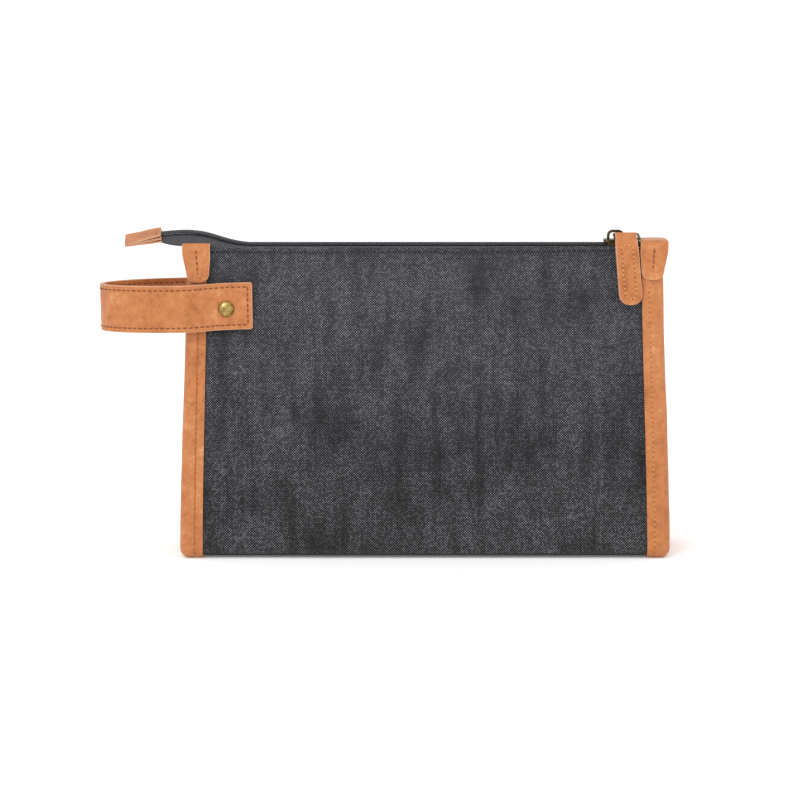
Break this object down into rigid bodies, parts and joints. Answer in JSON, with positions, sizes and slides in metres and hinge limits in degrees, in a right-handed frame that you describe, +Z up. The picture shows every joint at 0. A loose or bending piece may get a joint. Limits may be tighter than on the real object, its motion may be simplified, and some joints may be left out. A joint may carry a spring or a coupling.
{
  "type": "shaving kit bag",
  "caption": "Standing zipped canvas wash bag with leather ends, a riveted leather carrying loop and a leather zip pull.",
  "frame": {"origin": "middle of the flat base, on the surface that the bag stands on", "axes": "+X along the bag's width, away from the carrying loop; -Y out of the front; +Z up"},
  "size_m": [0.2982, 0.0618, 0.1702],
  "materials": {
    "canvas": "washed waxed canvas, charcoal with light flecks",
    "lining": "plain cotton lining",
    "board": "bag board",
    "leather": "vegetable-tanned, smooth, lightly worn",
    "tape": "woven zip tape",
    "coil": "nylon coil",
    "bronze": "dark antique finish",
    "rivet_brass": "antique brass"
  },
  "bodies": {
    "bag": {"front_panel": "canvas", "back_panel": "canvas", "base_panel": "canvas", "base_board": "board", "lining_front": "lining", "lining_back": "lining", "lining_base": "lining", "lining_left": "lining", "lining_right": "lining", "left_gusset": "leather", "right_gusset": "leather", "left_corner_tab": "leather", "right_corner_tab": "leather", "zip_tape_front": "tape", "zip_tape_back": "tape", "zip_coil_front": "coil", "zip_coil_back": "coil", "zip_top_stops": "bronze", "zip_end_tab": "leather"},
    "zip_slider": {"slider": "bronze"},
    "zip_loop": {"pull_loop": "bronze"},
    "zip_pull": {"leather_pull": "leather"},
    "handle": {"handle_outer": "leather", "handle_inner": "leather", "front_rivet_cap": "rivet_brass", "front_rivet_post": "rivet_brass", "back_rivet_cap": "rivet_brass", "back_rivet_post": "rivet_brass"}
  },
  "joints": [
    {"name": "slider_slide", "type": "slide", "parent": "bag", "child": "zip_slider", "axis": [-1, 0, 0], "range_m": [0, 0.184]},
    {"name": "loop_swing", "type": "hinge", "parent": "zip_slider", "child": "zip_loop", "pos_m": [0.09925, 0, 0.1671], "axis": [0, -0.9945, -0.1045], "range_deg": [0, 180]},
    {"name": "pull_swing", "type": "hinge", "parent": "zip_loop", "child": "zip_pull", "pos_m": [0.1056, -0.00955, 0.1661], "axis": [-1, 0, 0], "range_deg": [0, 120]},
    {"name": "handle_swing", "type": "hinge", "parent": "bag", "child": "handle", "pos_m": [-0.1039, 0, 0.13], "axis": [0, 1, 0], "range_deg": [-30, 10]}
  ]
}
